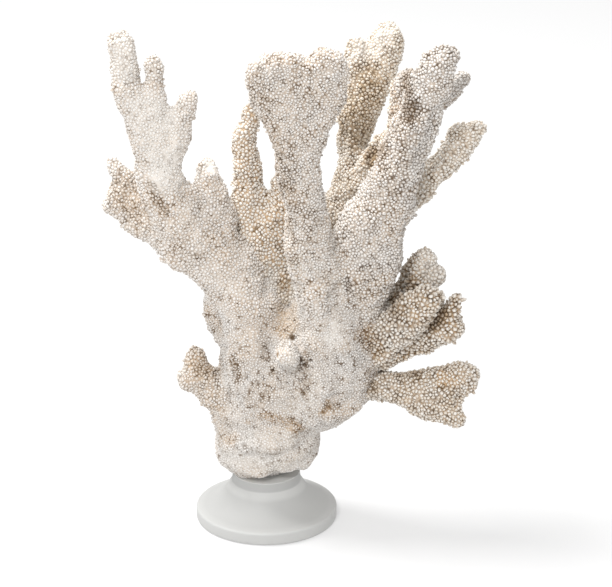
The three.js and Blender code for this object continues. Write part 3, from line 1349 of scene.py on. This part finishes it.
@dataclass
class Domes:
    """The beads of one limb, with a row of each array for each bead.

    A bead is a dome that fills its own ground between the beads round it: a rim sunk under the
    skin, a ring at its shoulder and a top that leans towards the limb's tip. Ring holds the
    ways from a bead's centre to the corners of its ground, and radii are their mean lengths.
    """

    style: Beads
    centres: Array
    normals: Array
    along: Array
    ring: Array
    radii: Array
    heights: Array
    shoulder_width: float = 0.78
    shoulder_height: float = 0.76
    point_loss: float = 0.12
    sink: float = 0.25
    sink_margin: float = 0.1

    def by_layer(self, numbers: tuple[float, float, float]) -> Array:
        """A number for each point of a bead, from those of its rim, its shoulder and its top."""
        return np.repeat(numbers, (self.style.sides, self.style.sides, 1))

    def points(self) -> Array:
        """The points of all beads, one bead after another.

        The rim is centre + ring - sink normal, the shoulder is centre + half of the lean +
        part of the height + part of the ring, and the top is centre + lean + height.

        Returns:
            The points.
        """
        loss = self.point_loss * self.style.point
        lean = (self.style.lean * self.radii)[:, None] * self.along
        sink = (self.sink * self.radii + self.sink_margin)[:, None] * self.normals
        rise = self.heights[:, None] * self.normals
        middle = self.centres + 0.5 * lean + (self.shoulder_height - loss) * rise
        rim = (self.centres - sink)[:, None] + self.ring
        shoulder = middle[:, None] + (self.shoulder_width - loss) * self.ring
        top = (self.centres + lean + rise)[:, None]
        return np.concatenate([rim, shoulder, top], axis=1).reshape(-1, 3)

    def triangles(self) -> Array:
        """Walls from rim to shoulder, a crown up to the top, and a fan that closes the rim.

        Returns:
            The triangles of all beads.
        """
        sides = self.style.sides
        here = np.arange(sides)
        after = (here + 1) % sides
        walls = [here, after, after + sides, here, after + sides, here + sides]
        crown = [here + sides, after + sides, np.full(sides, 2 * sides)]
        fan = [np.zeros(sides - 2, int), here[2:], here[1:-1]]
        one = np.concatenate([np.stack(t, 1).reshape(-1, 3) for t in (walls, crown, fan)])
        starts = (2 * sides + 1) * np.arange(len(self.centres))
        return (one + starts[:, None, None]).reshape(-1, 3)


@dataclass
class BeadCover:
    """The beads on the skin.

    Ground is a bead's area in squares of its spacing, and search and widest are in spacings. A
    share of the beads is wild, and taller than the rest. Beads lose height where the skin is
    worn, and are gone where it is worn away or holed. The trunk's go from a share of their
    height to all of it between the two foot_heights, in millimetres above the ground. Rises
    and depths are those of a bead's rim, shoulder and top. The low rise of the rim paints the
    gaps' dirt and painted shade round each bead, and under dark marks the tops darken, as dirt
    in some places and painted shadow in others.
    """

    skin: Skin
    dirt_and_shade: DirtAndShade
    place_seed: int = 7
    chance_seed: int = 9
    samples: int = 3
    relaxings: int = 2
    ground: float = 0.9
    search: float = 1.3
    widest: float = 0.7
    fill: float = 0.98
    height_spread: float = 0.5
    height_limits: tuple[float, float] = (0.4, 1.2)
    wild_share: float = 0.14
    wild_height: float = 1.7
    worn_height: float = 0.7
    worn_spread: float = 0.2
    worn_away: float = 0.8
    holed: float = 0.4
    foot_share: float = 0.5
    foot_heights: tuple[float, float] = (42.0, 80.0)
    rises: tuple[float, float, float] = (0.12, 0.92, 1.0)
    rise_spread: float = 0.15
    rise_loss_by_dirt_and_shadow: float = 0.4
    tint_spread: float = 0.4
    depths: tuple[float, float, float] = (1.0, 0.55, 0.0)

    def scatter(self) -> tuple[Array, Array, Array]:
        """Spreads bead centres evenly over the skin, closer where a limb's beads are small.

        Random places on the faces are lined up along a space-filling curve, and one is taken
        each time the running sum of area / (ground spacing^2) passes a whole number. A few
        times over, each centre then moves to the middle of the places that are nearest to it.

        Returns:
            Centres, their normals and their limbs' places in the list of limbs.
        """
        skin = self.skin
        rng = np.random.default_rng(self.place_seed)
        keep = ~skin.under()[skin.faces].all(1)
        quads = np.repeat(skin.faces[keep], self.samples, axis=0)
        limb = np.repeat(skin.face_limb[keep], self.samples)
        u, v = rng.random((2, len(quads), 1))
        weights = [(1 - u) * (1 - v), u * (1 - v), u * v, (1 - u) * v]
        places = sum(w * skin.points[c] for w, c in zip(weights, quads.T))
        normals = unit(sum(w * skin.normals[c] for w, c in zip(weights, quads.T)))
        a, b, c, d = (skin.points[corner] for corner in quads.T)
        area = 0.5 * length_of(np.cross(c - a, d - b)) / self.samples

        spacing = skin.blended(lambda look: look.beads.spacing, places)
        order = curve_order(places, skin.step)
        passed = np.floor(np.cumsum((area / (self.ground * spacing * spacing))[order]))
        centres = places[order[np.flatnonzero(np.diff(passed))]]
        reach = float(spacing.max()) * self.search
        for _ in range(self.relaxings):
            owner = nearest(places, centres, reach)
            held = np.bincount(owner, area, len(centres))
            middle = [np.bincount(owner, area * places[:, i], len(centres)) for i in range(3)]
            live = held > 0
            centres = (np.stack(middle, 1)[live].T / held[live]).T
        spot = np.unique(nearest(centres, places, reach))
        return places[spot], normals[spot], limb[spot]

    def lay(self, rng: np.random.Generator) -> Bed:
        """Scatters the beads, and finds what chance and wear make of each.

        Args:
            rng: The source of chance.

        Returns:
            The beads' places.
        """
        centres, normals, limbs = self.scatter()
        # Five numbers are drawn for each bead, and three of them are used.
        shade, _, stretch, turn, _ = rng.uniform(-1.0, 1.0, (5, len(centres)))
        wild = np.where(rng.random(len(centres)) < self.wild_share, self.wild_height, 1.0)
        worn = strongest(Kind.WORN, self.dirt_and_shade.warped(centres))
        tall = (1.0 + self.height_spread * stretch) * wild * (1.0 - self.worn_height * worn)
        smooth = worn + self.worn_spread * shade >= self.worn_away
        wanted = ~smooth & (strongest(Kind.HOLE, centres) < self.holed)
        return Bed(centres, normals, np.where(wanted, limbs, -1), shade, turn, tall)

    def domes(self, limb: Limb, bed: Bed, mine: Array, rng: np.random.Generator) -> Domes:
        """The shapes of one limb's beads.

        Rays go out from each centre in even steps round the normal, at a turn of its own, and
        each is cut off where the bead's own ground ends.

        Args:
            limb: The limb.
            bed: The places of all beads.
            mine: Indices of the limb's own beads.
            rng: The source of chance.

        Returns:
            The shapes.
        """
        style = LOOKS[limb].beads
        centres, normals = bed.centres[mine], bed.normals[mine]
        growth = centres - np.array(LOOKS[limb].root)
        along = unit(growth - (growth * normals).sum(1)[:, None] * normals)
        across = np.cross(normals, along)
        turns = np.arange(style.sides) / style.sides + bed.turn[mine][:, None]
        angle = 2 * math.pi * turns[..., None]
        rays = np.cos(angle) * along[:, None] + np.sin(angle) * across[:, None]
        radii = cell_radii(bed.centres, mine, rays, self.widest * style.spacing)
        radii *= self.fill + style.loose * rng.uniform(-1.0, 1.0, radii.shape)
        radius = radii.mean(1)
        heights = style.height * bed.tall[mine]
        heights *= np.clip(2.0 * radius / style.spacing, *self.height_limits)
        if limb is Limb.TRUNK:
            up = smoothstep(*self.foot_heights, centres[:, 2])
            heights *= self.foot_share + (1.0 - self.foot_share) * up
        return Domes(style, centres, normals, along, radii[..., None] * rays, radius, heights)

    def shell(self, domes: Domes, shade: Array, rng: np.random.Generator) -> Shell:
        """One limb's beads: the tones of the gaps, with the rise going up from rim to top.

        Args:
            domes: The beads' shapes.
            shade: A number from -1 to 1 for each bead, which turns its tint.
            rng: The source of chance.

        Returns:
            The shell. Its normals are left to Blender.
        """
        count = len(domes.centres)
        rises = domes.by_layer(self.rises)
        rises = rises + self.rise_spread * rng.uniform(-1.0, 1.0, (count, len(rises)))
        tones = self.dirt_and_shade.tones(domes.centres)
        base = tones[Tone.RISE][:, None]
        # Bead tops darken under the dark marks, some of which are dirt and some painted shadow.
        darker = strongest(Kind.DARK, self.dirt_and_shade.warped(domes.centres))[:, None]
        clean = np.clip(rises, 0.0, 1.0) * (1.0 - self.rise_loss_by_dirt_and_shadow * darker)
        tones[Tone.RISE] = base + (1.0 - base) * clean
        tones[Tone.TINT] = tones[Tone.TINT] + self.tint_spread * shade
        tones = {
            tone: np.broadcast_to(values.reshape(count, -1), rises.shape).ravel()
            for tone, values in tones.items()
        }
        points = domes.points()
        self.dirt_and_shade.soil(tones, points, np.tile(domes.by_layer(self.depths), count))
        return Shell(points, domes.triangles(), tones, np.zeros_like(points))

    def shells(self) -> list[Shell]:
        """The beads of each limb.

        Returns:
            One shell for each limb, in order.
        """
        rng = np.random.default_rng(self.chance_seed)
        bed = self.lay(rng)
        shells = []
        for number, limb in enumerate(Limb):
            mine = np.flatnonzero(bed.limbs == number)
            domes = self.domes(limb, bed, mine, rng)
            shells.append(self.shell(domes, bed.shade[mine], rng))
            LOG.info("%s: %d beads", limb.value, len(mine))
        return shells


@dataclass
class Coral:
    """The coral: its skin, the dirt and painted shade in it, the beads on it, and a piece for
    each limb.
    """

    skin: Skin
    dirt_and_shade: DirtAndShade
    beads: BeadCover

    @staticmethod
    def over(nodes: dict[str, bpy.types.Object]) -> "Coral":
        """A coral on the frame's nodes.

        Args:
            nodes: The nodes by name.

        Returns:
            The coral, not yet built.
        """
        skin = Skin(nodes)
        dirt_and_shade = DirtAndShade(skin)
        return Coral(skin, dirt_and_shade, BeadCover(skin, dirt_and_shade))

    def build(self, finishes: dict[Slot, bpy.types.Material]) -> None:
        """Makes the skin and the beads, and puts each limb's piece in the scene.

        Args:
            finishes: The material of each slot.
        """
        self.skin.grow()
        self.skin.weather()
        beads = self.beads.shells()
        for number, limb in enumerate(Limb):
            look = LOOKS[limb]
            skin = self.skin.shell(number)
            skin.tones = self.dirt_and_shade.tones(skin.points)
            self.dirt_and_shade.soil(skin.tones, skin.points, 1.0)
            shell = Shell.joined([skin, beads[number]])
            piece = shell.piece(f"{limb.value}_skin", finishes[look.slot])
            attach(piece, BODY)
            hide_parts(limb.value)
            LOG.info("%s: %d triangles", piece.name, len(shell.triangles))


# The stand


@dataclass
class Stand:
    """The turned stand: a disc with a rounded rim, a hollow sweep and a tapered collar.

    Sizes are in millimetres, and pairs are a radius and a height. The painted light shares say
    how far the finish goes from its painted shade colour to pale at the painted light heights.
    """

    radius: float = 40.0
    rim_height: float = 7.5
    rim_round: float = 1.5
    hollow: tuple[float, float] = (27.0, 10.0)
    shoulder: tuple[float, float] = (21.4, 20.6)
    collar_foot: tuple[float, float] = (19.6, 23.0)
    collar_top: tuple[float, float] = (19.0, 28.1)
    collar_round: float = 0.5
    collar_rim: float = 2.0
    sides: int = 160
    round_rows: int = 7
    sweep_rows: int = 25
    collar_rows: int = 9
    # Painted light and shade: rim, band and collar top paler; collar darker under the coral.
    painted_light_heights: tuple[float, ...] = (0.0, 7.0, 8.5, 18.0, 20.0, 22.6, 23.2, 27.6, 28.0)
    painted_light_shares: tuple[float, ...] = (0.8, 0.8, 0.42, 0.45, 0.9, 0.95, 0.25, 0.3, 1.0)

    def rounded(self, radius: float, height: float, size: float) -> Array:
        """A quarter round over the edge at some radius and height, from its side to its top.

        With a from 0 to a right angle, it is (radius, height) - size + size (cos a, sin a).

        Args:
            radius: The edge's radius.
            height: The edge's height.
            size: The quarter round's own radius.

        Returns:
            Radius and height of each point.
        """
        angle = np.linspace(0.0, math.pi / 2, self.round_rows)
        turn = np.stack([np.cos(angle), np.sin(angle)], 1)
        return np.array([radius, height]) - size + size * turn

    def profile(self) -> Array:
        """The outline, from the edge of the underside to near the middle of the top.

        The sweep is the curve (1-t)^2 rim + 2 t (1-t) hollow + t^2 shoulder, the collar is two
        straight tapers, and the edges are quarter rounds.

        Returns:
            Radius and height of each point.
        """
        bends = (self.hollow, self.shoulder, self.collar_foot)
        hollow, shoulder, foot = (np.array(bend) for bend in bends)
        top_radius, top = self.collar_top
        lower = self.rounded(self.radius, 0.0, self.rim_round)[::-1] * (1.0, -1.0)
        upper = self.rounded(self.radius, self.rim_height, self.rim_round)
        edge = self.rounded(top_radius, top, self.collar_round)
        t = np.linspace(0.0, 1.0, self.sweep_rows)[1:, None]
        sweep = (1 - t) ** 2 * upper[-1] + 2 * t * (1 - t) * hollow + t**2 * shoulder
        t = np.linspace(0.0, 1.0, self.collar_rows)[1:, None]
        band = shoulder + t * (foot - shoulder)
        collar = foot + t[:-1] * (edge[0] - foot)
        inner = np.array([[top_radius - self.collar_rim, top]])
        return np.concatenate([lower, upper, sweep, band, collar, edge, inner])

    def build(self, finish: bpy.types.Material) -> None:
        """Turns the outline about the upright axis, and closes it below and above.

        A point at angle a is (radius cos a, radius sin a, height).

        Args:
            finish: The stand's material.
        """
        outline = self.profile()
        rows = len(outline)
        angle = 2 * math.pi * np.arange(self.sides)[:, None] / self.sides
        wall = np.stack(
            [
                outline[:, 0] * np.cos(angle),
                outline[:, 0] * np.sin(angle),
                np.broadcast_to(outline[:, 1], (self.sides, rows)),
            ],
            axis=-1,
        ).reshape(-1, 3)
        points = np.concatenate([wall, [[0, 0, 0], [0, 0, self.collar_top[1]]]])
        side, row = np.meshgrid(np.arange(self.sides), np.arange(rows - 1), indexing="ij")
        here = (side * rows + row).ravel()
        there = ((side + 1) % self.sides * rows + row).ravel()
        first = np.arange(self.sides) * rows
        second = np.roll(first, -1)
        base, top = len(wall), len(wall) + 1
        triangles = np.concatenate(
            [
                np.stack([here, there, there + 1], 1),
                np.stack([here, there + 1, here + 1], 1),
                np.stack([second, first, np.full(self.sides, base)], 1),
                np.stack([first + rows - 1, second + rows - 1, np.full(self.sides, top)], 1),
            ]
        )
        # The stand's painted light and shade, by height.
        pale = np.interp(points[:, 2], self.painted_light_heights, self.painted_light_shares)
        piece = Shell(points, triangles, {Tone.PAINTED_LIGHT: pale}).piece("stand_turned", finish)
        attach(piece, BODY)
        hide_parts("stand")
        LOG.info("%s: %d triangles", piece.name, len(triangles))


# The studio


@dataclass(frozen=True)
class Lamp:
    """A round lamp with a soft edge to its shadows, in metres and watts."""

    name: str
    place: Point
    size: float
    power: float

    def build(self, target: Point) -> None:
        """Puts the lamp in the scene.

        Args:
            target: The point that it faces.
        """
        data = bpy.data.lights.new(self.name, "AREA")
        data.shape = "DISK"
        data.size = self.size
        data.energy = self.power
        lamp = bpy.data.objects.new(self.name, data)
        lamp.location = self.place
        aim = np.array(target) - np.array(self.place)
        level = math.hypot(aim[0], aim[1])
        lamp.rotation_euler = (math.atan2(level, -aim[2]), 0.0, math.atan2(-aim[0], aim[1]))
        bpy.context.scene.collection.objects.link(lamp)


@dataclass
class Studio:
    """White floor, soft light from the upper left and the front, and the camera.

    The floor and the sensor are in millimetres, places and the camera's reach are in metres,
    and its pitch is in degrees below level.
    """

    floor_size: float = 9000.0
    world: float = 0.7
    lamps: tuple[Lamp, ...] = (
        Lamp("key", (-0.7, 0.25, 1.9), 0.8, 38.0),
        Lamp("fill", (-0.45, -1.55, 1.5), 0.5, 21.0),
    )
    target: Point = (0.01, 0.0, 0.12)
    camera_place: Point = (0.0225, -1.2, 0.585)
    camera_pitch: float = 20.55
    camera_reach: float = 30.0
    focal_pixels: float = 2320.0
    image_width: float = 612.0
    sensor: float = 36.0

    def build_floor(self) -> None:
        """A plain square that the stand stands on."""
        half = self.floor_size / 2
        square = [[-half, -half, 0.0], [half, -half, 0.0], [half, half, 0.0], [-half, half, 0.0]]
        triangles = np.array([[0, 1, 2], [0, 2, 3]])
        floor = Shell(np.array(square), triangles).piece("floor", FloorFinish().material())
        LOG.info("%s: %d triangles", floor.name, len(triangles))

    def build_light(self) -> None:
        """An even white surround and the lamps."""
        world = bpy.data.worlds.new("surround")
        world.use_nodes = True
        background = world.node_tree.nodes["Background"]
        background.inputs["Color"].default_value = WHITE
        background.inputs["Strength"].default_value = self.world
        bpy.context.scene.world = world
        for lamp in self.lamps:
            lamp.build(self.target)

    def build_camera(self) -> None:
        """The camera at the photograph's place and angle."""
        data = bpy.data.cameras.new("camera")
        data.sensor_width = self.sensor
        data.lens = self.focal_pixels / self.image_width * self.sensor
        data.clip_end = self.camera_reach
        camera = bpy.data.objects.new("camera", data)
        camera.location = self.camera_place
        camera.rotation_euler = (math.radians(90.0 - self.camera_pitch), 0.0, 0.0)
        bpy.context.scene.collection.objects.link(camera)
        bpy.context.scene.camera = camera
        bpy.context.scene.view_settings.view_transform = "Standard"

    def build(self) -> None:
        """Sets up floor, light and camera."""
        self.build_floor()
        self.build_light()
        self.build_camera()


def main() -> None:
    """Loads the frame, builds the studio, the stand and the coral."""
    logging.basicConfig(level=logging.INFO, format="%(name)s: %(message)s")
    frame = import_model()
    materials = {finish.slot: finish.material() for finish in FINISHES}
    Studio().build()
    Stand().build(materials[Slot.FROSTED])
    Coral.over(frame["nodes"]).build(materials)


if __name__ == "__main__":
    main()
